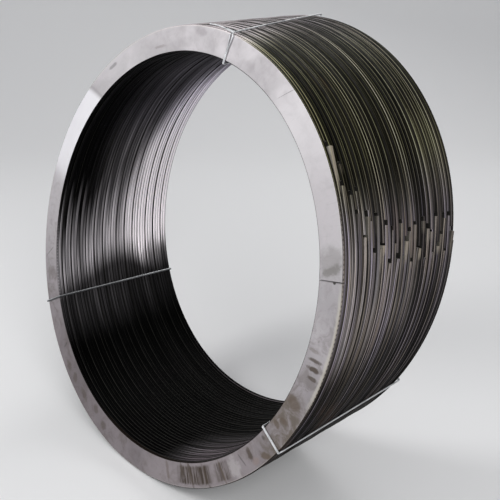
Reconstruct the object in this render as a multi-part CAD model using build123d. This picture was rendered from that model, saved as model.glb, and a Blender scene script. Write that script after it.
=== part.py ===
# A stack of open rings, rolled the hard way from stainless flat bar and tied with three doubled wires.
# It stands on its rims as one leaning pack: X to the right, +Y from the front ring to the back one, +Z up.
# The origin is on the floor, under the middle of the pack's box.
from build123d import *
from math import atan, cos, degrees, exp, hypot, radians, sin, tan
import os

# Driving dimensions, in millimetres and degrees
ring_outer_d = 1180.0
bar_width = 65.0
bar_thickness = 10.0
ring_count = 40
ring_gap = 0.3
lean = 13.5
slant = 1.2
wire_d = 3.0

# lean: the rings tilt back. slant: each ring stands a little further left than the one before it.
# Each rolled ring springs back a little differently, so the rims are not quite in line
radius_spread = 1.0
side_spread = 1.6

# Where the bar ends meet: a row down the right-hand side, counted anticlockwise from +X. It drops quickly
# over the first rings (joint_fall is how many) and then runs on nearly level
front_joint_angle = 10.0
first_joint_angle = 38.3
last_joint_angle = 12.0
joint_fall = 6.0
joint_scatter = 4.5
joint_opening = 5.0
opening_spread = 3.0
front_joint_opening = 1.2
first_straight_end = 108.0
longest_straight_end = 62.0
shortest_straight_end = 22.0
front_straight_end = 6.0

# Wire ties: the angles at which each crosses the front ring and the back ring, anticlockwise from +X
tie_angles = {"tie_top": (78.3, 88.3), "tie_left": (208.5, 211.5), "tie_right": (327.5, 330.0)}
front_knots = ["tie_top"]
rim_runs = 3
rim_bend = 300.0
tie_clearance = 0.5
strand_gap = 0.2
knot_lift = 2.1
back_knot_inset = 14.0
tie_bend = 1.8
twist_length = 28.0
tail_length = 92.0

# Worked out from the above
ring_radius = ring_outer_d / 2
lean_sin = sin(radians(lean))
lean_cos = cos(radians(lean))
pitch = (bar_thickness + ring_gap) / lean_cos
stack_length = (ring_count - 1) * pitch + bar_thickness / lean_cos
centre_height = ring_radius * lean_cos + bar_thickness * lean_sin
wire_r = wire_d / 2
tie_offset = wire_r + tie_clearance
along = Vector(-tan(radians(slant)), 1, 0)
ring_up = Vector(0, lean_sin, lean_cos)
ring_front = Vector(0, -lean_cos, lean_sin)


def ring_size(index):
    """Outer radius of one ring after it has sprung back."""
    return ring_radius + radius_spread * sin(1.7 * index + 0.6)


def side_shift(index):
    """How far one ring stands to the right of the front ring's nominal middle."""
    return side_spread * sin(2.3 * index + 2.2) + along.X * index * pitch


def joint_angle(index):
    """Angle at which the straight end of one ring has its tip."""
    if index == 0:
        return front_joint_angle
    middle = last_joint_angle + (first_joint_angle - last_joint_angle) * exp((1 - index) / joint_fall)
    if index == 1:
        return middle
    return middle + joint_scatter * sin(2.4 * index)


def straight_end(index):
    """Length that the rolls leave straight at the leading end of one bar."""
    if index == 0:
        return front_straight_end
    if index == 1:
        return first_straight_end
    middle = (longest_straight_end + shortest_straight_end) / 2
    return middle - (middle - shortest_straight_end) * cos(1.9 * index)


def opening(index):
    """Gap left between the two ends of one bar."""
    if index == 0:
        return front_joint_opening
    return joint_opening + opening_spread * sin(3.3 * index)


def reach_right(index):
    """Furthest right that one ring goes, at its rim or at the tip of its straight end."""
    tip = hypot(ring_size(index), straight_end(index)) * cos(radians(joint_angle(index)))
    return side_shift(index) + max(ring_size(index), tip)


def reach_left(index):
    return ring_size(index) - side_shift(index)


rings = range(ring_count)
middle_shift = (max(map(reach_left, rings)) - max(map(reach_right, rings))) / 2


def ring_outline(radius, tip_angle, straight, gap):
    """Outline of one open ring: a bent bar whose leading end stays straight and so stands proud."""
    inner = radius - bar_width
    bend_end = tip_angle - degrees(atan(straight / radius))
    start = bend_end + degrees(atan(straight / inner)) + degrees(gap / radius) - 360
    outer_arc = CenterArc((0, 0), radius, start, bend_end - start)
    inner_arc = CenterArc((0, 0), inner, start, bend_end - start)
    tangent = Vector(-sin(radians(bend_end)), cos(radians(bend_end))) * straight
    outer_tip = outer_arc @ 1 + tangent
    inner_tip = inner_arc @ 1 + tangent
    ends = [
        Line(outer_arc @ 1, outer_tip),
        Line(outer_tip, inner_tip),
        Line(inner_tip, inner_arc @ 1),
        Line(inner_arc @ 0, outer_arc @ 0),
    ]
    return make_face([outer_arc, inner_arc] + ends)


def ring_plane(index):
    """Front plane of one ring, with its origin at the ring's own centre."""
    grown = ring_size(index) - ring_radius
    centre = front_centre + Vector(side_shift(index), index * pitch, 0) + ring_up * grown
    return Plane(origin=centre, x_dir=(1, 0, 0), z_dir=ring_front)


def ring(index):
    outline = ring_outline(ring_size(index), joint_angle(index), straight_end(index), opening(index))
    return ring_plane(index) * extrude(outline, -bar_thickness)


def outward_at(angle):
    return Vector(cos(radians(angle)), 0, 0) + ring_up * sin(radians(angle))


def rim_offset(index, angle):
    """How far one ring's own circle stands outside the slanted row of nominal ones at an angle."""
    grown = ring_size(index) - ring_radius
    sideways = side_shift(index) - along.X * index * pitch
    return grown * (1 + sin(radians(angle))) + sideways * cos(radians(angle))


def tie_angle(name, share):
    """Angle of a tie at a share of the way from the front ring to the back one."""
    front_angle, back_angle = tie_angles[name]
    return front_angle + (back_angle - front_angle) * share


def tie_reaches(name):
    """Outer and inner reach of a tie's centre line that clears every ring it crosses."""
    angles = [tie_angle(name, index / (ring_count - 1)) for index in rings]
    offsets = [rim_offset(index, angle) for index, angle in zip(rings, angles)]
    steps = [bar_thickness / lean_cos * along.dot(outward_at(angle)) for angle in angles]
    dip = 2 * ring_radius * (1 - cos(radians(angles[-1] - angles[0]) / rim_runs / 2))
    outer = ring_radius + max(offsets) + max(0, -min(steps)) + dip + tie_offset
    inner = ring_radius - bar_width + min(offsets) - max(0, max(steps)) - tie_offset
    return outer, inner


# The top tie stands furthest back, at its upper back corner
top_tie_reach = (tie_reaches("tie_top")[0] + wire_r) * outward_at(tie_angle("tie_top", 1)).Y
reach_back = stack_length + (tie_offset + wire_r) / lean_cos + top_tie_reach
reach_front = ring_radius * lean_sin
front_centre = Vector(middle_shift, (reach_front - reach_back) / 2, centre_height)


def tie_point(angle, reach, station, side=0.0):
    """A point on a tie: out from the pack's middle, along the pack, and to one side round the rim."""
    sideways = ring_up * cos(radians(angle)) - Vector(sin(radians(angle)), 0, 0)
    return front_centre + outward_at(angle) * reach + along * station + sideways * side


def rounded_loop(corners):
    """Edges of a closed path through (point, bend radius) pairs, straight between its bends."""
    bends = []
    for index, (point, radius) in enumerate(corners):
        before = (corners[index - 1][0] - point).normalized()
        after = (corners[(index + 1) % len(corners)][0] - point).normalized()
        half = radians(before.get_angle(after)) / 2
        reach = radius / tan(half)
        middle = point + (before + after).normalized() * (radius / sin(half) - radius)
        bends.append((point + before * reach, middle, point + after * reach))
    edges = []
    for index, bend in enumerate(bends):
        edges.append(ThreePointArc(*bend))
        edges.append(Line(bend[2], bends[(index + 1) % len(bends)][0]))
    return edges


def wire_along(edges):
    path = Wire(edges)
    return sweep(Plane(origin=path @ 0, z_dir=path % 0) * Circle(wire_r), path=path)


def strand(name, side):
    """One turn of wire round the pack's section: straight through the bore, and bent along over the rims."""
    outer, inner = tie_reaches(name)
    front, back = -tie_offset / lean_cos, stack_length + tie_offset / lean_cos
    front_angle, back_angle = tie_angles[name]
    corners = [
        (tie_point(front_angle, outer, front, side), tie_bend),
        (tie_point(front_angle, inner, front, side), tie_bend),
        (tie_point(back_angle, inner, back, side), tie_bend),
        (tie_point(back_angle, outer, back, side), tie_bend),
    ]
    if abs(back_angle - front_angle) > 1:
        for share in [1 - run / rim_runs for run in range(1, rim_runs)]:
            place = tie_point(tie_angle(name, share), outer, front + (back - front) * share, side)
            corners.append((place, rim_bend))
    edges = rounded_loop(corners)
    return wire_along(edges[:4]) + wire_along(edges[4:])


def knot(name):
    """Twisted ends of a tie, with one longer tail. They lie on the front rim or flat behind the back ring."""
    at_front = name in front_knots
    outer, inner = tie_reaches(name)
    angle = tie_angle(name, 0 if at_front else 1)

    def place(lift, inset, side):
        dropped = outer - side ** 2 / (2 * ring_radius)
        if at_front:
            return tie_point(angle, dropped + lift, inset - tie_offset / lean_cos, side)
        station = stack_length + (tie_offset + lift) / lean_cos
        return tie_point(angle, dropped - back_knot_inset - inset, station, side)

    start = place(knot_lift, wire_r, -wire_d * 4 / 3)
    twist_path = Line(start, place(knot_lift, 2 * wire_r, twist_length))
    twist = sweep(Plane(origin=start, z_dir=twist_path % 0) * Circle(wire_r * 1.7), path=twist_path)
    tail_path = Line(twist_path @ 0.5, place(2 * knot_lift, 3 * wire_r, tail_length))
    tail = sweep(Plane(origin=tail_path @ 0, z_dir=tail_path % 0) * Circle(wire_r), path=tail_path)
    return twist + tail


def tie(name):
    """A doubled wire drawn tight round the section and twisted at one corner."""
    beside = wire_r + strand_gap / 2
    return strand(name, beside) + strand(name, -beside) + knot(name)


os.makedirs("parts", exist_ok=True)
for index in rings:
    export_step(ring(index), "parts/ring_%02d.step" % (index + 1))
for name in tie_angles:
    export_step(tie(name), "parts/%s.step" % name)
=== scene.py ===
# Looks of the tied pack of open rings rolled from flat bar. Metres; the same frame as the CAD part.
from math import atan, cos, degrees, exp, hypot, pi, radians, sin, tan

import bpy
import numpy as np
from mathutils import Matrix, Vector


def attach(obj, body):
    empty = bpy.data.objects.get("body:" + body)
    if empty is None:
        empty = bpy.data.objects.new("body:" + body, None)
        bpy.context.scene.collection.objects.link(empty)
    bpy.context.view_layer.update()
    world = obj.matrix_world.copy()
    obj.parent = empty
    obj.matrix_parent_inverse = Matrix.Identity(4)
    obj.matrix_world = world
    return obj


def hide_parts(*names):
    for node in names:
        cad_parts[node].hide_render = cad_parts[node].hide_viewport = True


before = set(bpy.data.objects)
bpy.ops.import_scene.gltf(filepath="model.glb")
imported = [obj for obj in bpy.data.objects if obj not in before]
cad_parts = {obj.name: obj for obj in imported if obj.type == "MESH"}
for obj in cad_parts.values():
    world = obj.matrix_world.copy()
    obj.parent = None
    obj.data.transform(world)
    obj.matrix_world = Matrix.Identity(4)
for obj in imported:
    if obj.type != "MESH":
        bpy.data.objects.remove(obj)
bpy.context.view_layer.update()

# Sizes shared with the part's source
ring_radius = 0.590
bar_width = 0.065
bar_thickness = 0.010
ring_count = 40
ring_gap = 0.0003
lean = radians(13.5)
slant = radians(1.2)
wire_r = 0.0015
radius_spread = 0.001
side_spread = 0.0016
front_joint_angle = 10.0
first_joint_angle = 38.3
last_joint_angle = 12.0
joint_fall = 6.0
joint_scatter = 4.5
joint_opening = 0.005
opening_spread = 0.003
front_joint_opening = 0.0012
first_straight_end = 0.108
longest_straight_end = 0.062
shortest_straight_end = 0.022
front_straight_end = 0.006
tie_angles = {"tie_top": (78.3, 88.3), "tie_left": (208.5, 211.5), "tie_right": (327.5, 330.0)}
front_knots = ["tie_top"]
rim_runs = 3
rim_bend = 0.3
tie_clearance = 0.0005
knot_lift = 0.0021
back_knot_inset = 0.014
tie_bend = 0.0018
twist_length = 0.028
tail_length = 0.092

pitch = (bar_thickness + ring_gap) / cos(lean)
stack_length = (ring_count - 1) * pitch + bar_thickness / cos(lean)
centre_height = ring_radius * cos(lean) + bar_thickness * sin(lean)
tie_offset = wire_r + tie_clearance
along = Vector((-tan(slant), 1, 0))
across = Vector((1, 0, 0))
ring_up = Vector((0, sin(lean), cos(lean)))
ring_back = Vector((0, cos(lean), -sin(lean)))
rings = range(ring_count)


def ring_size(index):
    return ring_radius + radius_spread * sin(1.7 * index + 0.6)


def side_shift(index):
    return side_spread * sin(2.3 * index + 2.2) + along.x * index * pitch


def joint_angle(index):
    if index == 0:
        return front_joint_angle
    middle = last_joint_angle + (first_joint_angle - last_joint_angle) * exp((1 - index) / joint_fall)
    return middle if index == 1 else middle + joint_scatter * sin(2.4 * index)


def straight_end(index):
    if index == 0:
        return front_straight_end
    if index == 1:
        return first_straight_end
    middle = (longest_straight_end + shortest_straight_end) / 2
    return middle - (middle - shortest_straight_end) * cos(1.9 * index)


def opening(index):
    return front_joint_opening if index == 0 else joint_opening + opening_spread * sin(3.3 * index)


def reach_right(index):
    tip = hypot(ring_size(index), straight_end(index)) * cos(radians(joint_angle(index)))
    return side_shift(index) + max(ring_size(index), tip)


def reach_left(index):
    return ring_size(index) - side_shift(index)


def outward_at(angle):
    return across * cos(radians(angle)) + ring_up * sin(radians(angle))


def round_the_rim(angle):
    return ring_up * cos(radians(angle)) - across * sin(radians(angle))


def tie_angle(name, share):
    front_angle, back_angle = tie_angles[name]
    return front_angle + (back_angle - front_angle) * share


def tie_reaches(name):
    angles = [tie_angle(name, index / (ring_count - 1)) for index in rings]
    offsets = []
    for index, angle in zip(rings, angles):
        grown, sideways = ring_size(index) - ring_radius, side_shift(index) - along.x * index * pitch
        offsets.append(grown * (1 + sin(radians(angle))) + sideways * cos(radians(angle)))
    steps = [bar_thickness / cos(lean) * along.dot(outward_at(angle)) for angle in angles]
    dip = 2 * ring_radius * (1 - cos(radians(angles[-1] - angles[0]) / rim_runs / 2))
    outer = ring_radius + max(offsets) + max(0, -min(steps)) + dip + tie_offset
    inner = ring_radius - bar_width + min(offsets) - max(0, max(steps)) - tie_offset
    return outer, inner


middle_shift = (max(map(reach_left, rings)) - max(map(reach_right, rings))) / 2
top_tie_reach = (tie_reaches("tie_top")[0] + wire_r) * outward_at(tie_angle("tie_top", 1)).y
reach_back = stack_length + (tie_offset + wire_r) / cos(lean) + top_tie_reach
front_centre = Vector((middle_shift, (ring_radius * sin(lean) - reach_back) / 2, centre_height))


# Camera, at the photograph's viewing angle. Its turn is to the left of straight ahead, its tilt down.
camera_turn = radians(47.06)
camera_tilt = radians(20.74)
camera_data = bpy.data.cameras.new("camera")
camera = bpy.data.objects.new("camera", camera_data)
bpy.context.scene.collection.objects.link(camera)
camera_data.sensor_width = 36.0
camera_data.lens = 59.06
camera.location = (1.6075, -1.4035, 1.3475)
camera.rotation_euler = (pi / 2 - camera_tilt, 0, camera_turn)
bpy.context.scene.camera = camera


# Meshes


def new_object(name, verts, faces, materials, kinds=None, uvs=None, numbers=None):
    """Makes a smooth mesh object. kinds has the material's place in the list for each face, uvs one pair for each
    corner of each face, and numbers a value for each vertex."""
    mesh = bpy.data.meshes.new(name)
    mesh.from_pydata([tuple(v) for v in verts], [], faces)
    for material in materials:
        mesh.materials.append(material)
    if kinds is not None:
        mesh.polygons.foreach_set("material_index", kinds)
    if uvs is not None:
        layer = mesh.uv_layers.new(name="Bar")
        layer.uv.foreach_set("vector", np.asarray(uvs, np.float32).ravel())
    for key, values in (numbers or {}).items():
        mesh.attributes.new(key, "FLOAT", "POINT").data.foreach_set("value", np.asarray(values, np.float32))
    mesh.polygons.foreach_set("use_smooth", [True] * len(mesh.polygons))
    mesh.update()
    obj = bpy.data.objects.new(name, mesh)
    bpy.context.scene.collection.objects.link(obj)
    return obj


# The bar's section: radius of its arrises, how much thinner it is rolled at the rim, how far its edges bulge, and
# how far from the arrises its flats have their first row of points
arris = 0.0013
thinned_rim = 0.0002
edge_bulge = 0.0003
flat_margin = 0.0009

# v runs round the outer edge from 0 to edge_run, and round the inner edge from inner_edge_v on
edge_run = bar_thickness - 2 * arris + pi * arris
inner_edge_v = 0.02
outer_edge_end_v = 0.016


def section_points():
    """The bar's rounded section, rolled a little thinner at the rim, as (inward from the rim, depth) points.
    They run from the front face round the outer edge, the back face and the inner edge to the front again."""
    width, depth, near = bar_width, bar_thickness, flat_margin

    def corner(inward, down, first):
        turns = [radians(first + step) for step in (0, -30, -60, -90)]
        return [(inward + arris * cos(turn), down + arris * sin(turn)) for turn in turns]

    loop = corner(arris, arris, 270) + [(0, depth * 0.36), (0, depth * 0.64)] + corner(arris, depth - arris, 180)
    outer_end = len(loop) - 1
    loop += [(arris + near, depth), (width / 2, depth), (width - arris - near, depth)]
    inner_start = len(loop)
    loop += corner(width - arris, depth - arris, 90) + [(width, depth / 2)] + corner(width - arris, arris, 0)
    inner_end = len(loop) - 1
    loop += [(width - arris - near, 0), (width / 2, 0), (arris + near, 0)]
    shaped = []
    for inward, down in loop:
        share = 1 - inward / width
        lift = (down - depth / 2) / (depth / 2)
        hollow = edge_bulge * lift * lift
        inward = inward + hollow if inward < width / 2 else inward - hollow
        shaped.append((inward, depth / 2 + (down - depth / 2) * (1 - 2 * thinned_rim * share / depth)))
    return shaped, outer_end, inner_start, inner_end


def strip_places():
    """Material and v of both sides of each strip of the section: 0 for the rolled edges, 1 for the flats."""
    strips = []
    for j, (a, b) in enumerate(zip(section, section[1:] + section[:1])):
        step = hypot(a[0] - b[0], a[1] - b[1])
        if j < outer_end:
            start = strips[-1][2] if j else 0.0
            strips.append((0, start, start + step))
        elif inner_start <= j < inner_end:
            start = strips[-1][2] if j > inner_start else inner_edge_v + edge_run
            strips.append((0, start, start - step))
        else:
            strips.append((1, a[0], b[0]))
    return strips


# Rings, counted from 0, whose straight ends stayed quite pale
pale_ends = (1, 13, 21, 26, 33)

# How finely the rings are divided, how deep their rolling waves are, and how their trailing ends curl in: how far
# on the first two rings and at most on the others, how fast that dies away, and how fast its shade does
front_segments = 600
ring_segments = 264
straight_step = 0.015
wave_depth = 0.00012
front_curl = 0.0003
most_curl = 0.0022
curl_length = 0.09
shade_length = 0.16

section, outer_end, inner_start, inner_end = section_points()
strips = strip_places()


def ring_mesh(index, name, materials):
    """One open ring: the rolled part of the bar, then its straight end, closed at both cuts. Its numbers for the
    materials are pale (towards the straight end), shade (towards the other end), and tone and line (the bar's)."""
    rng = np.random.default_rng(100 + index)
    segments = front_segments if index == 0 else ring_segments
    radius = ring_size(index)
    straight = straight_end(index)
    inner = radius - bar_width
    bend_end = joint_angle(index) - degrees(atan(straight / radius))
    start = bend_end + degrees(atan(straight / inner)) + degrees(opening(index) / radius) - 360
    centre = front_centre + Vector((side_shift(index), index * pitch, 0)) + ring_up * (radius - ring_radius)
    waves = [(int(rng.integers(3, 34)), rng.uniform(0, 2 * pi), rng.uniform(0.5, 1)) for _ in range(5)]
    curl = front_curl if index < 2 else most_curl * rng.uniform(0, 1)

    def sunk(theta):
        """How far the rim lies inside its circle: rolling waves, and the trailing end curls in a little."""
        total = sum(size * sin(count * theta + phase) for count, phase, size in waves)
        from_cut = ring_radius * (theta - radians(start))
        return wave_depth * (1 - total / 2.5) + curl * exp(-from_cut / curl_length)

    stations = []
    for step in range(segments + 1):
        turn = radians(start + (bend_end - start) * step / segments)
        inward = -outward_at(degrees(turn))
        stations.append((centre - inward * (radius - sunk(turn)), inward, ring_radius * turn))
    tangent = round_the_rim(bend_end)
    rim, inward, travelled = stations[-1]
    pieces = max(1, round(straight / straight_step))
    for step in range(1, pieces + 1):
        shift = straight * step / pieces
        stations.append((rim + tangent * shift, inward, travelled + shift))

    count = len(section)
    first_u, last_u = stations[0][2], stations[-1][2]
    verts = [rim + inward * s[0] + ring_back * s[1] for rim, inward, _ in stations for s in section]
    pale_end = 1.0 if index in pale_ends else 0.4 * rng.uniform(0, 1)
    numbers = {
        "pale": [pale_end * min(1, max(0, 2.4 + 2.4 * (u - last_u) / straight)) for _, _, u in stations
                 for _ in section],
        "shade": [curl / most_curl * exp((first_u - u) / shade_length) for _, _, u in stations for _ in section],
        "tone": [rng.uniform(0, 1)] * len(verts),
        "line": [rng.uniform(0, 1) ** 1.6] * len(verts),
    }
    faces, kinds, uvs = [], [], []
    offset = 10.0 * index
    for i in range(len(stations) - 1):
        u0, u1 = stations[i][2] + offset, stations[i + 1][2] + offset
        for j, (kind, va, vb) in enumerate(strips):
            k = (j + 1) % count
            faces.append((i * count + j, i * count + k, (i + 1) * count + k, (i + 1) * count + j))
            kinds.append(kind)
            uvs += [(u0, va), (u0, vb), (u1, vb), (u1, va)]
    near_cut = tuple(range(count))[::-1]
    far_cut = tuple(range((len(stations) - 1) * count, len(stations) * count))
    for loop in (near_cut, far_cut):
        faces.append(loop)
        kinds.append(2)
        uvs += [(offset + section[v % count][0], section[v % count][1]) for v in loop]
    obj = new_object(name, verts, faces, materials, kinds, uvs, numbers)
    for cap in obj.data.polygons[-2:]:
        cap.use_smooth = False
    cut = set(near_cut) | set(far_cut)
    for side in obj.data.edges:
        if side.vertices[0] in cut and side.vertices[1] in cut:
            side.use_edge_sharp = True
    return obj


def tube(points, radius, sides=10):
    """Round wire through points: rings of vertices square to the path, closed at both ends."""
    verts, faces = [], []
    side = None
    for i, point in enumerate(points):
        ahead = (points[min(i + 1, len(points) - 1)] - points[max(i - 1, 0)]).normalized()
        if side is None:
            side = ahead.orthogonal()
        side = (side - ahead * side.dot(ahead)).normalized()
        other = ahead.cross(side)
        for step in range(sides):
            turn = 2 * pi * step / sides
            verts.append(point + (side * cos(turn) + other * sin(turn)) * radius)
    for i in range(len(points) - 1):
        for j in range(sides):
            k = (j + 1) % sides
            faces.append((i * sides + j, i * sides + k, (i + 1) * sides + k, (i + 1) * sides + j))
    faces.append(tuple(range(sides))[::-1])
    faces.append(tuple(range((len(points) - 1) * sides, len(points) * sides)))
    return verts, faces


# Ties: distance of each strand from the middle of the pair, how far the strands of a tie with a front knot spread
# and how far below the knot, turns of the twist, longest step of a straight run, and steps of a bend
strand_side = 0.0016
splay_side = 0.0042
splay_drop = 0.008
twist_turns = 3.2
run_step = 0.012
bend_steps = 6
twist_steps = 60
tail_steps = 24

# How dull the wires are: over the rims with a front knot or without one, and the two strands of the left tie,
# the lower one darkened as a painted shadow of the upper one
rims_dull = (1.0, 0.35)
left_tie_dull_and_shadow = (0.55, 1.6)


def rounded_path(corners):
    """Closed run of points through (point, bend radius) pairs, straight between its bends."""
    bends = []
    for index, (point, radius) in enumerate(corners):
        before = (corners[index - 1][0] - point).normalized()
        after = (corners[(index + 1) % len(corners)][0] - point).normalized()
        half = before.angle(after) / 2
        middle = point + (before + after).normalized() * (radius / sin(half))
        start, end = point + before * (radius / tan(half)), point + after * (radius / tan(half))
        first, last = (start - middle).normalized(), (end - middle).normalized()
        turns = [first.slerp(last, step / bend_steps) for step in range(bend_steps + 1)]
        bends.append([middle + turn * radius for turn in turns])
    path = []
    for index, bend in enumerate(bends):
        path += bend
        following = bends[(index + 1) % len(bends)][0]
        runs = max(1, int((following - bend[-1]).length / run_step))
        path += [bend[-1].lerp(following, step / runs) for step in range(1, runs)]
    return path + [path[0]]


def tie_place(angle, reach, station, side=0.0):
    return front_centre + outward_at(angle) * reach + along * station + round_the_rim(angle) * side


def reach_of(point):
    """Distance of a point from the line through the middles of the rings."""
    apart = point - front_centre
    apart -= along * (apart.y - apart.z * tan(lean))
    return hypot(apart.x, apart.z / cos(lean))


def tie_mesh(name, material):
    """A doubled wire round the pack's section, with its ends twisted together and one left long."""
    outer, inner = tie_reaches(name)
    front, back = -tie_offset / cos(lean), stack_length + tie_offset / cos(lean)
    front_angle, back_angle = tie_angles[name]
    at_front = name in front_knots
    verts, faces = [], []

    def add(points, radius):
        more_verts, more_faces = tube(points, radius)
        first = len(verts)
        verts.extend(more_verts)
        faces.extend(tuple(first + v for v in more) for more in more_faces)

    strand_ends = []
    for sign in (-1, 1):
        side = sign * strand_side
        corners = [
            (tie_place(front_angle, outer, front, side), tie_bend),
            (tie_place(front_angle, outer - splay_drop, front, side + sign * splay_side), tie_bend),
            (tie_place(front_angle, (outer + inner) / 2, front, side), tie_bend),
            (tie_place(front_angle, inner, front, side), tie_bend),
            (tie_place(back_angle, inner, back, side), tie_bend),
            (tie_place(back_angle, outer, back, side), tie_bend),
        ]
        if not at_front:
            corners[1:3] = []
        for run in range(rim_runs - 1, 0, -1):
            share = run / rim_runs
            middle = tie_place(tie_angle(name, share), outer, front + (back - front) * share, side)
            corners.append((middle, rim_bend))
        add(rounded_path(corners), wire_r)
        strand_ends.append(len(verts))

    angle = front_angle if at_front else back_angle

    def place(lift, inset, side):
        dropped = outer - side ** 2 / (2 * ring_radius)
        if at_front:
            return tie_place(angle, dropped + lift, front + inset, side)
        return tie_place(angle, dropped - back_knot_inset - inset, back + lift, side)

    for phase in (0.0, pi):
        twisted = []
        for step in range(twist_steps + 1):
            share = step / twist_steps
            turn = phase + 2 * pi * twist_turns * share
            twisted.append(place(wire_r * (1.45 + cos(turn)), 0.0022 + wire_r * sin(turn),
                                 -0.003 + twist_length * share))
        add(twisted, wire_r * 0.92)
    tail = []
    tail_start = twist_length - 0.004
    for step in range(tail_steps + 1):
        share = step / tail_steps
        tail.append(place(knot_lift + 0.0012 * sin(pi * share), 0.003 + 0.002 * share,
                          tail_start + (tail_length - tail_start) * share))
    add(tail, wire_r * 0.95)

    over_rims = rims_dull[0] if at_front else rims_dull[1]
    dull = [over_rims if reach_of(v) > outer - 0.004 else 0.0 for v in verts]
    first_end, second_end = strand_ends
    if at_front:
        dull[second_end:] = [0.0] * (len(verts) - second_end)
    # Painted shadow: the left tie's lower strand is darkened to read as the upper strand's shadow.
    if name == "tie_left":
        first_dull, lower_strand_shadow = left_tie_dull_and_shadow
        dull[:second_end] = [first_dull] * first_end + [lower_strand_shadow] * (second_end - first_end)
    return new_object("wire_" + name, verts, faces, [material], numbers={"dull": dull})


# Materials


class Nodes:
    """A short way to write node trees. The values that its methods take are numbers or other nodes' sockets."""

    def __init__(self, name):
        self.material = bpy.data.materials.new(name)
        self.material.use_nodes = True
        self.tree = self.material.node_tree
        self.tree.nodes.clear()
        output = self.tree.nodes.new("ShaderNodeOutputMaterial")
        self.shader = self.tree.nodes.new("ShaderNodeBsdfPrincipled")
        self.tree.links.new(self.shader.outputs[0], output.inputs["Surface"])

    def put(self, socket, value):
        if isinstance(value, bpy.types.NodeSocket):
            self.tree.links.new(value, socket)
        else:
            socket.default_value = value

    def math(self, operation, a, b=0.0, clamp=False):
        node = self.tree.nodes.new("ShaderNodeMath")
        node.operation = operation
        node.use_clamp = clamp
        self.put(node.inputs[0], a)
        self.put(node.inputs[1], b)
        return node.outputs[0]

    def times(self, first, *others):
        for other in others:
            first = self.math("MULTIPLY", first, other)
        return first

    def plus(self, first, *others):
        for other in others:
            first = self.math("ADD", first, other)
        return first

    def less(self, a, b):
        return self.math("SUBTRACT", a, b)

    def most(self, a, b):
        return self.math("MAXIMUM", a, b)

    def rest(self, share):
        """What a share leaves of the whole."""
        return self.less(1.0, share)

    def mix(self, factor, a, b, blend="MIX"):
        node = self.tree.nodes.new("ShaderNodeMix")
        node.data_type = "RGBA"
        node.blend_type = blend
        self.put(node.inputs[0], factor)
        self.put(node.inputs[6], a)
        self.put(node.inputs[7], b)
        return node.outputs[2]

    def ramp(self, value, low, high, to_low=0.0, to_high=1.0):
        """Goes smoothly from to_low to to_high as the value goes from low to high."""
        node = self.tree.nodes.new("ShaderNodeMapRange")
        node.interpolation_type = "SMOOTHSTEP"
        self.put(node.inputs["Value"], value)
        for key, number in (("From Min", low), ("From Max", high), ("To Min", to_low), ("To Max", to_high)):
            self.put(node.inputs[key], number)
        return node.outputs[0]

    def between(self, mask, at_none, at_full):
        return self.ramp(mask, 0.0, 1.0, at_none, at_full)

    def band(self, value, low, high, soft):
        """1 between low and high, with soft sides."""
        return self.times(self.ramp(value, low - soft, low + soft), self.ramp(value, high + soft, high - soft))

    def noise(self, vector, detail=2.0, roughness=0.5, distortion=0.0):
        node = self.tree.nodes.new("ShaderNodeTexNoise")
        self.put(node.inputs["Vector"], vector)
        node.inputs["Scale"].default_value = 1.0
        node.inputs["Detail"].default_value = detail
        node.inputs["Roughness"].default_value = roughness
        node.inputs["Distortion"].default_value = distortion
        return node.outputs["Fac"]

    def clouds(self, scale, detail, roughness, distortion=0.0):
        """Noise in space. scale is its repeats in a metre: one number, or one for each axis."""
        node = self.tree.nodes.new("ShaderNodeMapping")
        self.put(node.inputs["Vector"], self.position())
        node.inputs["Scale"].default_value = scale if isinstance(scale, tuple) else (scale, scale, scale)
        return self.noise(node.outputs[0], detail, roughness, distortion)

    def streaks(self, along_bar, across_bar, detail=2.0, roughness=0.6, offset=0.0):
        """Noise drawn out along the bar, with its repeats in a metre along the bar and across it."""
        place = self.combine(self.times(self.u, along_bar), self.times(self.v, across_bar), offset)
        return self.noise(place, detail, roughness)

    def separate(self, vector):
        node = self.tree.nodes.new("ShaderNodeSeparateXYZ")
        self.put(node.inputs[0], vector)
        return node.outputs

    def combine(self, x, y, z=0.0):
        node = self.tree.nodes.new("ShaderNodeCombineXYZ")
        for socket, value in zip(node.inputs, (x, y, z)):
            self.put(socket, value)
        return node.outputs[0]

    def shaded(self, colour, brightness):
        """A colour times a grey."""
        return self.mix(1.0, colour, self.combine(brightness, brightness, brightness), "MULTIPLY")

    def bar_place(self):
        """u is the distance along the bar and v the distance across its section, in metres."""
        node = self.tree.nodes.new("ShaderNodeUVMap")
        node.uv_map = "Bar"
        self.u, self.v, _ = self.separate(node.outputs[0])

    def number(self, name):
        node = self.tree.nodes.new("ShaderNodeAttribute")
        node.attribute_name = name
        return node.outputs["Fac"]

    def position(self):
        return self.tree.nodes.new("ShaderNodeTexCoord").outputs["Object"]

    def pack_place(self, side=1):
        """Angle round the pack in degrees, upwards from the right (side 1) or the left (-1), and share along it."""
        x, y, z = self.separate(self.position())
        up = self.less(z, centre_height)
        right = self.times(self.less(x, middle_shift), side)
        angle = self.math("DEGREES", self.math("ARCTAN2", self.times(up, 1 / cos(lean)), right))
        station = self.less(self.less(y, front_centre.y), self.times(up, tan(lean)))
        return angle, self.times(station, 1 / stack_length)

    def bump(self, height, distance, strength):
        node = self.tree.nodes.new("ShaderNodeBump")
        node.inputs["Strength"].default_value = strength
        node.inputs["Distance"].default_value = distance
        self.put(node.inputs["Height"], height)
        self.put(self.shader.inputs["Normal"], node.outputs[0])


def tint(value, red=1.0, green=1.0, blue=1.0):
    return (value * red, value * green, value * blue, 1.0)


def cast(green, blue):
    """A colour cast that leaves red as it is."""
    return tint(1.0, 1.0, green, blue)


brown = tint(0.095, 1.0, 0.72, 0.50)
deep_brown = tint(0.052, 1.0, 0.68, 0.44)
dark_grey = tint(0.035, 1.0, 0.9, 0.8)
rust_red = (0.10, 0.056, 0.036, 1.0)


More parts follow.
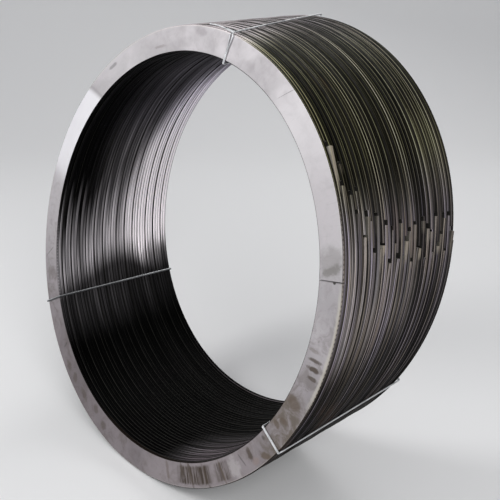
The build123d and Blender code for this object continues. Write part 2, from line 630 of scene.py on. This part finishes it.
# The rolled edges. Angles are in degrees, sizes across the section in metres, and shares run from the front ring (0)
# to the back one (1).


def edge_places(n):
    """Where a point of a rolled edge is, what its ring's numbers are, and the noises that everything else uses."""
    n.bar_place()
    n.angle, n.share = n.pack_place()
    n.left_angle, _ = n.pack_place(-1)
    n.height = n.separate(n.position())[2]
    n.tone, n.line, n.pale, n.shade = (n.number(key) for key in ("tone", "line", "pale", "shade"))
    n.inner = n.math("GREATER_THAN", n.v, outer_edge_end_v)
    n.outer = n.rest(n.inner)
    n.local = n.less(n.v, n.times(n.inner, inner_edge_v))
    n.long_streak = n.streaks(1.7, 330.0, 2.0, 0.5)
    n.streak = n.streaks(7.0, 800.0, 3.0)
    n.fine = n.streaks(170.0, 1100.0)
    n.patch = n.clouds((3.4, 5.0, 3.4), 3.0, 0.6)
    n.group = n.noise(n.combine(n.times(n.share, 11.0), n.times(n.height, 1.2)), 2.0, 0.6)


def bore_reflection_band(n):
    """The bright band at the left of the bore, a painted reflection of bright surroundings in the bore wall. It
    climbs and widens towards the back ring, its top is ragged from ring to ring, and its far part fades at the
    bottom."""
    far = n.ramp(n.share, 0.45, 1.0)
    middle = n.less(n.times(n.share, 16.0), 18.0)
    ragged = n.plus(n.times(n.tone, 16.0), n.times(n.streak, 18.0))
    above = n.less(n.plus(n.less(n.left_angle, middle), ragged), 17.0)
    below = n.less(n.less(middle, n.left_angle), n.times(far, 11.0))
    zone = n.times(n.inner, n.ramp(above, n.between(far, 21.0, 62.0), -4.0),
                   n.ramp(below, n.between(far, 13.5, 18.0), 3.0))
    fading = n.times(far, n.rest(n.ramp(n.left_angle, -24.0, -7.0, 0.05, 1.0)))
    return n.times(zone, n.between(far, 0.36, 2.8), n.rest(fading))


def edge_zones(n):
    """How much brighter than the dark scale the rolled edges are, by zone: greener over the top right, paler at the
    crown and down the right of the first rings. In the bore the bright zones are painted reflection, brightest at
    the far left."""
    inner, outer, angle, left_angle, share = n.inner, n.outer, n.angle, n.left_angle, n.share
    uneven = n.ramp(n.patch, 0.3, 0.65, 0.6, 1.1)
    n.olive = n.times(outer, n.band(angle, 27.0, 75.0, 10.0))
    n.crown = n.times(outer, n.ramp(n.less(angle, n.times(share, 15.0)), 65.0, 82.0), n.ramp(angle, 170.0, 116.0))
    right = n.times(outer, n.band(angle, -8.0, 22.0, 9.0), uneven, n.ramp(share, 0.5, 0.8, 1.0, 0.35))
    near_right = n.times(right, n.ramp(share, 0.20, 0.27, 1.0, 0.12), n.ramp(share, 0.03, 0.09, 0.25, 1.0))
    n.back_right = n.times(outer, n.ramp(share, 0.68, 0.78), n.band(angle, 5.0, 40.0, 9.0),
                           n.ramp(share, 1.1, 0.8))
    # Painted reflection: the bore's left side, the stretch under the band and the top of the bore are brightened.
    left_bore_reflection = n.times(inner, n.ramp(share, 0.2, 0.95), n.ramp(left_angle, 85.0, 5.0),
                        n.ramp(left_angle, -30.0, -8.0))
    lower_band_reflection = n.times(inner, n.band(left_angle, -40.0, -20.0, 8.0), n.ramp(share, 0.6, 0.25, 0.6, 1.0))
    bore_top_reflection = n.times(inner, n.ramp(left_angle, 40.0, 58.0), n.ramp(share, 0.2, 0.5))
    n.foot = n.times(inner, n.band(angle, -72.0, -45.0, 9.0), n.ramp(share, 0.5, 0.08))
    crown_level = n.ramp(share, 0.0, 0.45, 0.50, 0.27)
    return ((n.olive, 0.0022), (n.crown, crown_level), (right, 0.058), (near_right, 0.155), (bore_reflection_band(n), 1.0),
            (left_bore_reflection, 0.20), (lower_band_reflection, 0.035), (n.foot, 0.17), (bore_top_reflection, 0.035), (n.back_right, 0.075))


def worn_lines(n):
    """Lines along the arrises where the scale is rubbed off, and painted highlights along the same arrises. They are
    broken along their length, and each ring has its own strength."""
    front_strength = n.ramp(n.line, n.times(n.inner, 0.35), 0.85, n.between(n.inner, 0.25, 0.05), 1.0)
    front_line = n.times(n.band(n.local, 0.0013, 0.0032, 0.0004), front_strength)
    back_line = n.times(n.outer, n.band(n.local, edge_run - 0.0052, edge_run - 0.0038, 0.0004),
                        n.ramp(n.tone, 0.25, 0.9, 0.05, 0.55), n.ramp(n.streak, 0.35, 0.6, 0.4, 1.0),
                        n.between(n.olive, 1.0, 0.15))
    broken = n.ramp(n.long_streak, 0.32, 0.62, 0.35, 1.0)
    return n.times(n.most(front_line, back_line), broken, n.ramp(n.group, 0.35, 0.65, 0.55, 1.0),
                   n.rest(n.times(n.shade, 0.7)))


def edge_brightness(n):
    """Grey of the rolled edges: level by zone, streaks, rubbed lines that are partly painted highlights, painted
    shade in the bore and towards the floor, and painted shade in the valleys between the rings.
    """
    # Painted shade: the rolled edges are darker in the bore than outside, and darker towards the floor.
    painted_low_shade = n.between(n.ramp(n.height, 0.52, 0.22), 1.0, 0.4)
    n.level = n.times(n.between(n.inner, 0.0032, 0.0016), painted_low_shade)
    for zone, amount in edge_zones(n):
        n.level = n.plus(n.level, n.times(zone, amount))

    ring_tone = n.plus(n.times(n.tone, n.between(n.inner, 1.0, 0.5)), n.times(n.inner, 0.25))
    vary = n.times(n.ramp(n.streak, 0.3, 0.7, 0.5, 1.5), n.between(ring_tone, 0.5, 1.5),
                   n.ramp(n.long_streak, 0.3, 0.7, 0.4, 1.6), n.ramp(n.group, 0.35, 0.65, 0.55, 1.45))
    evened = n.times(n.crown, 0.7)
    varied = n.times(n.level, n.plus(n.times(vary, n.rest(evened)), evened))

    # Rubbed lines: partly bare metal, partly painted highlights along the arrises.
    n.worn = worn_lines(n)
    glint = n.plus(n.times(n.level, n.between(n.crown, 1.7, 0.9)),
                   n.times(n.between(n.inner, 0.32, 0.016), painted_low_shade),
                   n.times(n.back_right, 0.2), n.times(n.olive, 0.17))
    bright = n.math("ADD", n.times(varied, n.rest(n.worn)), n.times(n.worn, glint), clamp=True)

    # Painted shade in the valleys between the rings, on both sides of each rim.
    groove_shade_start = n.between(n.inner, edge_run - 0.0034, edge_run - 0.0052)
    groove_shade = n.most(n.ramp(n.local, groove_shade_start, edge_run - 0.0014), n.ramp(n.local, 0.0011, 0.0003))
    groove_shade = n.times(groove_shade, n.between(n.crown, 0.94, 0.08))
    return n.times(bright, n.rest(groove_shade), n.rest(n.times(n.shade, n.outer, 0.8)))


def edge_cast(n):
    """Colour cast of the rolled edges: bluish and brown streaks, green over the top right, pink at the crown."""
    warm = n.ramp(n.streaks(2.6, 210.0, offset=7.0), 0.38, 0.62)
    steel = n.mix(n.times(n.ramp(n.line, 0.12, 0.3), n.outer), cast(0.94, 0.98), cast(0.90, 1.05))
    hue = n.mix(n.times(warm, n.outer), steel, cast(0.86, 0.74))
    hue = n.mix(n.foot, hue, cast(0.84, 0.92))
    hue = n.mix(n.times(n.inner, n.ramp(n.left_angle, 12.0, 40.0)), hue, cast(0.925, 1.07))
    green = n.mix(n.times(warm, 0.55), cast(0.975, 0.50), cast(0.84, 0.58))
    green_lines = n.mix(n.ramp(n.share, 0.05, 0.5), cast(0.98, 0.52), cast(0.97, 0.80))
    hue = n.mix(n.olive, hue, n.mix(n.worn, green, green_lines))
    return n.mix(n.crown, hue, cast(0.91, 0.935))


def front_edge_marks(n, base):
    """What only the front bar's edges show: tooth marks of the rolls, a pale lip at the joint, and painted shade on
    its inner edge low in the bore.
    """
    teeth = n.ramp(n.math("SINE", n.times(n.u, 2 * pi / tooth_pitch)), -0.2, 0.5)
    teeth = n.times(teeth, n.ramp(n.local, 0.0012, 0.0022), n.ramp(n.local, 0.0065, 0.004))
    base = n.mix(n.times(teeth, n.ramp(n.streak, 0.3, 0.6), 0.8), base, tint(0.012, 1.0, 0.85, 0.7))
    lip = n.times(n.ramp(n.local, 0.0042, 0.0022), n.band(n.angle, *lip_angles), n.outer,
                  n.rest(n.times(teeth, 0.9)))
    base = n.mix(n.times(lip, 0.85), base, tint(0.34, 1.0, 0.93, 0.80))
    # Painted shade: the front ring's inner edge is darkened where it lies in shadow low in the bore.
    inner_edge_shade = n.times(n.inner, n.band(n.angle, -105.0, 0.0, 8.0))
    return n.mix(n.times(inner_edge_shade, 0.9), base, tint(0.012, 1.0, 0.7, 0.55))


def edge_material(name, front=False):
    """Rolled edges of the bars: dark scale in long streaks, its darkness partly a painted dark reflection, with
    bright rubbed lines along the arrises that are partly painted highlights.
    """
    n = Nodes(name)
    edge_places(n)
    brightness = edge_brightness(n)
    # The dark scale's darkness is partly a painted dark reflection of the surroundings.
    base = n.shaded(edge_cast(n), brightness)
    rust = n.times(n.ramp(n.patch, 0.52, 0.7), n.ramp(n.streak, 0.35, 0.62), n.ramp(n.tone, 0.2, 0.7), n.outer)
    base = n.mix(n.times(rust, 0.4), base, rust_red)
    # The last stretch of some bars went through the rolls straight and stayed pale
    end_pale = n.times(n.pale, n.outer, n.ramp(n.streak, 0.3, 0.6, 0.6, 1.0))
    base = n.mix(n.times(end_pale, 0.9), base, tint(0.27, 1.0, 0.87, 0.70))
    if front:
        base = front_edge_marks(n, base)
    n.put(n.shader.inputs["Base Color"], base)
    bare = n.most(n.worn, n.ramp(n.level, 0.02, 0.3))
    mirror = n.most(n.times(n.outer, 0.85), n.ramp(n.share, 0.30, 0.75, 0.1, 0.85))
    n.put(n.shader.inputs["Metallic"], n.times(bare, mirror))
    n.shader.inputs["Specular IOR Level"].default_value = 0.01
    n.put(n.shader.inputs["Roughness"], n.ramp(n.long_streak, 0.3, 0.7, 0.36, 0.52))
    n.bump(n.plus(n.streak, n.times(n.fine, 0.4)), 0.0004, 0.4)
    return n.material


# The flat faces


def stains(n, base, marks):
    """Adds single stains. Each is an oval with a wobbly outline."""
    wobble = n.times(n.less(n.clouds(60.0, 3.0, 0.6), 0.5), 1.7)
    for mark_angle, inward, half_length, half_width, lean_over, colour, strength in marks:
        across_mark = n.less(n.v, inward)
        along_mark = n.plus(n.less(n.u, ring_radius * radians(mark_angle)), n.times(across_mark, lean_over))
        along_mark = n.times(along_mark, 1 / half_length)
        across_mark = n.times(across_mark, 1 / half_width)
        reach = n.math("SQRT", n.plus(n.times(along_mark, along_mark), n.times(across_mark, across_mark)))
        mask = n.ramp(n.plus(reach, wobble), 1.4, 0.6)
        base = n.mix(n.times(mask, strength), base, colour)
    return base


def front_face_marks(n, base):
    """What only the front face shows: bright and light stretches, scuffs, mud, stains, and the closed joint."""
    angle, v, mottle = n.angle, n.v, n.mottle
    slanted = n.less(angle, n.times(v, -45.0))
    base = n.mix(n.times(n.band(slanted, 138.5, 139.6, 0.5), 0.5), base, tint(0.20, 1.0, 0.95, 0.97))
    bright_stretch = n.times(n.ramp(slanted, 138.5, 141.0), n.ramp(angle, 172.0, 164.0))
    base = n.mix(n.times(bright_stretch, 0.95), base, tint(0.72, 1.0, 0.985, 1.02))

    base = n.mix(n.times(n.band(angle, -84.0, -38.0, 5.0), 0.35), base, tint(0.30, 1.0, 0.89, 0.92))
    scuffed = n.most(n.band(angle, -70.0, -58.0, 1.5), n.times(n.band(angle, -55.0, -50.5, 1.0), 0.7))
    scuffed = n.times(scuffed, n.band(n.plus(v, n.times(mottle, 0.012)), 0.017, 0.061, 0.004))
    base = n.mix(n.times(scuffed, 0.42), base, deep_brown)
    scratches = n.times(n.ramp(n.cross, 0.42, 0.54), n.ramp(mottle, 0.25, 0.45))
    base = n.mix(n.times(scratches, scuffed), base, tint(0.036, 1.0, 0.64, 0.42))

    light = n.most(n.band(angle, 36.0, 56.0, 9.0), n.times(n.band(angle, 112.0, 136.0, 6.0), 0.6))
    base = n.mix(n.times(light, 0.5), base, tint(0.58, 1.0, 0.97, 0.99))
    stained = n.times(n.band(angle, -36.0, -19.0, 4.0), n.ramp(mottle, 0.3, 0.6))
    base = n.mix(n.times(stained, 0.9), base, tint(0.118, 1.0, 0.82, 0.67))
    muddy = n.times(n.ramp(angle, -175.0, -140.0), n.ramp(angle, -88.0, -104.0),
                    n.ramp(n.cloud, 0.3, 0.58, 0.3, 1.0))
    base = n.mix(n.times(muddy, 0.5), base, tint(0.10, 1.0, 0.82, 0.88))

    base = n.mix(n.times(n.ramp(v, 0.0625, 0.0637), 0.6), base, tint(0.04, 1.0, 0.8, 0.7))
    lip = n.times(n.ramp(n.plus(v, n.times(mottle, 0.010)), 0.0150, 0.0105), n.band(angle, *lip_angles))
    base = n.mix(n.times(lip, 0.5), base, tint(0.50, 1.0, 0.94, 0.82))
    base = stains(n, base, front_marks)
    joint_u = ring_radius * radians(front_joint_angle)
    for cut in (joint_u, joint_u - 2 * pi * ring_radius):
        from_cut = n.math("ABSOLUTE", n.less(n.u, cut))
        base = n.mix(n.times(n.ramp(from_cut, 0.0026, 0.0010), 0.45), base, tint(0.03, 1.0, 0.85, 0.7))
    return base


def face_material(name, front=False):
    """Outer flats of the pack: pale mill finish with clouds, stains and scratches, dirtier near the floor, and
    painted shade that darkens the finish towards the floor.
    """
    n = Nodes(name)
    n.bar_place()
    height = n.separate(n.position())[2]
    n.angle, _ = n.pack_place()
    n.cloud = n.clouds(5.5, 4.0, 0.6, 0.5)
    n.mottle = n.clouds(26.0, 5.0, 0.68, 0.7)
    n.cross = n.streaks(240.0, 14.0)
    speck = n.clouds(150.0, 2.0, 0.6)

    # Painted shade: the pale finish darkens towards the floor.
    base = n.mix(n.ramp(height, 0.76, 0.10), tint(0.455, 1.0, 0.95, 0.985), tint(0.205, 1.0, 0.87, 0.925))
    base = n.shaded(base, n.rest(n.times(n.ramp(n.cloud, 0.42, 0.66), 0.22)))
    stain = n.times(n.ramp(n.mottle, 0.46, 0.66), n.ramp(height, 0.78, 0.3, 0.08, 0.62))
    base = n.mix(stain, base, tint(0.115, 1.0, 0.84, 0.76))
    dots = n.times(n.ramp(speck, 0.66, 0.76), n.ramp(height, 0.9, 0.3, 0.15, 0.5))
    base = n.mix(dots, base, tint(0.10, 1.0, 0.9, 0.8))
    base = n.mix(n.times(n.ramp(n.cross, 0.60, 0.75), 0.14), base, tint(0.22, 1.0, 0.96, 0.95))
    base = n.mix(n.times(n.ramp(n.v, 0.0042, 0.0016), 0.35), base, tint(0.6, 1.0, 0.95, 0.87))
    if front:
        base = front_face_marks(n, base)
    n.put(n.shader.inputs["Base Color"], base)
    n.shader.inputs["Metallic"].default_value = 0.35
    n.put(n.shader.inputs["Roughness"], n.ramp(n.mottle, 0.3, 0.7, 0.42, 0.6))
    n.bump(n.plus(n.streaks(9.0, 900.0), n.times(n.mottle, 0.6)), 0.00025, 0.35)
    return n.material


def inside_material():
    """Flats between the rings, painted nearly black as the shade deep in the gaps between them; pale only where a
    bar end stands proud.
    """
    n = Nodes("bar_face_inside")
    n.bar_place()
    mottle = n.clouds(26.0, 4.0, 0.65, 0.5)
    # Painted shade: nearly black, as the narrow gaps between the rings lie in deep shade.
    base = n.mix(n.ramp(mottle, 0.35, 0.7), tint(0.030, 1.0, 0.95, 0.85), tint(0.012, 1.0, 0.95, 0.85))
    proud = n.times(n.number("pale"), n.ramp(n.v, 0.014, 0.010), n.ramp(mottle, 0.3, 0.6, 1.0, 0.6))
    base = n.mix(proud, base, tint(0.42, 1.0, 0.94, 0.80))
    n.put(n.shader.inputs["Base Color"], base)
    n.shader.inputs["Metallic"].default_value = 0.3
    n.shader.inputs["Specular IOR Level"].default_value = 0.3
    n.put(n.shader.inputs["Roughness"], n.ramp(mottle, 0.3, 0.7, 0.45, 0.6))
    n.bump(n.streaks(9.0, 900.0), 0.00025, 0.35)
    return n.material


def end_material():
    """Sheared ends of the bars: dull torn metal."""
    n = Nodes("bar_end")
    torn = n.clouds((300.0, 300.0, 900.0), 3.0, 0.6)
    n.put(n.shader.inputs["Base Color"], n.mix(torn, tint(0.06, 1.0, 0.93, 0.86), tint(0.34, 1.0, 0.95, 0.84)))
    n.shader.inputs["Metallic"].default_value = 0.6
    n.shader.inputs["Roughness"].default_value = 0.5
    n.bump(torn, 0.0005, 0.6)
    return n.material


def wire_material():
    """Galvanised tie wire with a faint spangle and dull stretches, and a painted shadow on the left tie's lower
    strand.
    """
    n = Nodes("tie_wire")
    spangle = n.clouds(500.0, 2.0, 0.5)
    patchy = n.clouds(22.0, 2.0, 0.5)
    base = n.mix(n.ramp(spangle, 0.35, 0.7), tint(0.55, 0.98, 1.0, 1.04), tint(0.80, 0.99, 1.0, 1.02))
    base = n.mix(n.times(n.ramp(patchy, 0.5, 0.72), 0.7), base, tint(0.26, 0.98, 1.0, 1.04))
    # Dull wire over the rims, and a painted shadow on the left tie's lower strand.
    base = n.mix(n.math("MULTIPLY", n.number("dull"), 0.6, clamp=True), base, tint(0.06, 0.97, 1.0, 1.05))
    n.put(n.shader.inputs["Base Color"], base)
    n.shader.inputs["Metallic"].default_value = 0.8
    n.put(n.shader.inputs["Roughness"], n.ramp(patchy, 0.3, 0.7, 0.26, 0.45))
    n.bump(spangle, 0.0001, 0.3)
    return n.material


# The pale lip by the front joint (from, to, softness), and the pitch of the rolls' tooth marks
lip_angles = (-18.0, 8.0, 3.0)
tooth_pitch = 0.0104

# Stains on the front ring: angle on the ring, distance in from the rim, half length along, half width across,
# how far it leans over, colour, strength. That ring's angles run from 10 down through 0 to -350.
front_marks = [
    (-8.4, 0.0350, 0.0050, 0.0165, 0.1, deep_brown, 0.80),
    (-10.4, 0.0310, 0.0058, 0.0175, 0.1, deep_brown, 0.90),
    (-12.5, 0.0250, 0.0050, 0.0120, 0.1, deep_brown, 0.80),
    (-6.4, 0.0450, 0.0040, 0.0200, 0.0, brown, 0.35),
    (-20.8, 0.0390, 0.0140, 0.0230, -0.3, brown, 0.65),
    (-28.6, 0.0470, 0.0075, 0.0130, -0.2, brown, 0.80),
    (-26.3, 0.0380, 0.0070, 0.0120, 0.2, brown, 0.60),
    (-34.7, 0.0510, 0.0040, 0.0060, 0.0, dark_grey, 0.55),
    (-36.8, 0.0130, 0.0110, 0.0130, 0.7, brown, 0.85),
    (-41.3, 0.0400, 0.0085, 0.0150, 0.1, deep_brown, 0.80),
    (-40.3, 0.0180, 0.0100, 0.0100, 0.0, tint(0.24, 1.0, 0.74, 0.66), 0.50),
    (-48.0, 0.0300, 0.0170, 0.0260, 0.1, tint(0.37, 1.0, 0.93, 0.94), 0.75),
    (-44.6, 0.0370, 0.0025, 0.0170, 0.4, dark_grey, 0.50),
    (-53.0, 0.0300, 0.0030, 0.0300, 0.2, brown, 0.60),
    (-59.5, 0.0300, 0.0050, 0.0300, 0.3, deep_brown, 0.60),
    (-65.5, 0.0360, 0.0060, 0.0320, 0.2, deep_brown, 0.70),
    (-69.0, 0.0450, 0.0050, 0.0220, 0.2, deep_brown, 0.60),
    (-75.0, 0.0380, 0.0060, 0.0260, 0.2, brown, 0.50),
    (-106.0, 0.0280, 0.0150, 0.0120, 0.2, deep_brown, 0.55),
    (-111.5, 0.0440, 0.0130, 0.0110, 0.3, deep_brown, 0.55),
    (-118.6, 0.0310, 0.0200, 0.0100, 0.4, deep_brown, 0.60),
    (-125.2, 0.0290, 0.0130, 0.0110, 0.2, deep_brown, 0.55),
    (-129.8, 0.0230, 0.0180, 0.0100, 0.4, deep_brown, 0.50),
    (-166.6, 0.0280, 0.0014, 0.0200, 0.76, dark_grey, 0.70),
    (-304.9, 0.0250, 0.0010, 0.0260, -0.49, tint(0.12, 1.0, 0.95, 0.98), 0.60),
    (-254.2, 0.0440, 0.0220, 0.0035, 0.1, brown, 0.30),
    (-136.0, 0.0400, 0.0030, 0.0100, 0.3, dark_grey, 0.50),
    (-345.5, 0.0330, 0.0300, 0.0320, 0.2, tint(0.17, 1.0, 0.95, 0.89), 0.42),
    (-347.6, 0.0300, 0.0100, 0.0260, 0.4, tint(0.12, 1.0, 0.93, 0.84), 0.50),
    (9.9, 0.0220, 0.0032, 0.0032, 0.0, dark_grey, 1.00),
    (-270.5, 0.0160, 0.0200, 0.0090, 0.2, tint(0.20, 1.0, 0.90, 0.96), 0.35),
    (-232.7, 0.0180, 0.0200, 0.0050, 0.8, tint(0.12, 1.0, 0.96, 0.98), 0.55),
]

edge = edge_material("bar_edge")
front_edge = edge_material("bar_edge_front", True)
end = end_material()
face = face_material("bar_face")
inside = inside_material()
front_face = face_material("bar_face_front", True)
wire = wire_material()

for index in rings:
    if index == 0:
        materials = [front_edge, front_face, end]
    else:
        materials = [edge, face if index == ring_count - 1 else inside, end]
    piece = ring_mesh(index, "bar_ring_%02d" % (index + 1), materials)
    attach(piece, "root")
    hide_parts("ring_%02d" % (index + 1))

for name in tie_angles:
    piece = tie_mesh(name, wire)
    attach(piece, "root")
    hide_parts(name)


# Floor with a backdrop that rises from it in one curve, and soft lamps


# The floor's ends, front and back, and half its width; the backdrop's bend and height
floor_front = -60.0
floor_back = 3.2
floor_side = 30.0
backdrop_bend = 3.0
backdrop_top = 7.0
backdrop_steps = 16


def stage_floor():
    away = Vector((-sin(camera_turn), cos(camera_turn), 0))
    beside = Vector((away.y, -away.x, 0))
    profile = [(floor_front, 0.0), (floor_back, 0.0)]
    for step in range(1, backdrop_steps + 1):
        turn = pi / 2 * step / backdrop_steps
        profile.append((floor_back + backdrop_bend * sin(turn), backdrop_bend * (1 - cos(turn))))
    profile.append((floor_back + backdrop_bend, backdrop_top))
    verts = [away * run + beside * side + Vector((0, 0, rise)) for run, rise in profile
             for side in (-floor_side, floor_side)]
    faces = [(2 * i, 2 * i + 1, 2 * i + 3, 2 * i + 2) for i in range(len(profile) - 1)]
    n = Nodes("pale_floor")
    n.shader.inputs["Roughness"].default_value = 0.75
    n.shader.inputs["Base Color"].default_value = (0.80, 0.80, 0.80, 1.0)
    new_object("floor", verts, faces, [n.material])


def world_light():
    """Even light from all round. It is paler and brighter where it is seen or mirrored than where it lights."""
    world = bpy.data.worlds.new("studio")
    bpy.context.scene.world = world
    world.use_nodes = True
    tree = world.node_tree
    tree.nodes.clear()
    out = tree.nodes.new("ShaderNodeOutputWorld")
    path = tree.nodes.new("ShaderNodeLightPath")
    light = tree.nodes.new("ShaderNodeBackground")
    light.inputs["Color"].default_value = (0.95, 0.96, 1.0, 1.0)
    light.inputs["Strength"].default_value = 0.42
    seen = tree.nodes.new("ShaderNodeBackground")
    seen.inputs["Color"].default_value = (0.93, 0.93, 0.93, 1.0)
    seen.inputs["Strength"].default_value = 0.95
    seen_by = path.outputs["Is Camera Ray"]
    for ray in ("Is Glossy Ray", "Is Transmission Ray"):
        either = tree.nodes.new("ShaderNodeMath")
        either.operation = "MAXIMUM"
        tree.links.new(seen_by, either.inputs[0])
        tree.links.new(path.outputs[ray], either.inputs[1])
        seen_by = either.outputs[0]
    mix = tree.nodes.new("ShaderNodeMixShader")
    tree.links.new(seen_by, mix.inputs[0])
    tree.links.new(light.outputs[0], mix.inputs[1])
    tree.links.new(seen.outputs[0], mix.inputs[2])
    tree.links.new(mix.outputs[0], out.inputs["Surface"])


def soft_lamp(name, place, target, size, power):
    data = bpy.data.lights.new(name, "AREA")
    data.shape = "DISK"
    data.size = size
    data.energy = power
    lamp = bpy.data.objects.new(name, data)
    bpy.context.scene.collection.objects.link(lamp)
    lamp.location = place
    lamp.rotation_euler = (Vector(target) - Vector(place)).to_track_quat("-Z", "Y").to_euler()


stage_floor()
world_light()
soft_lamp("key", (-2.4, -3.0, 3.0), (0, 0, 0.6), 2.2, 88)
soft_lamp("fill", (3.4, -1.8, 2.4), (0, 0, 0.5), 2.5, 95)
soft_lamp("rim", (-1.5, 3.0, 3.2), (0, 0, 0.6), 2.0, 35)

bpy.context.scene.view_settings.view_transform = "Standard"
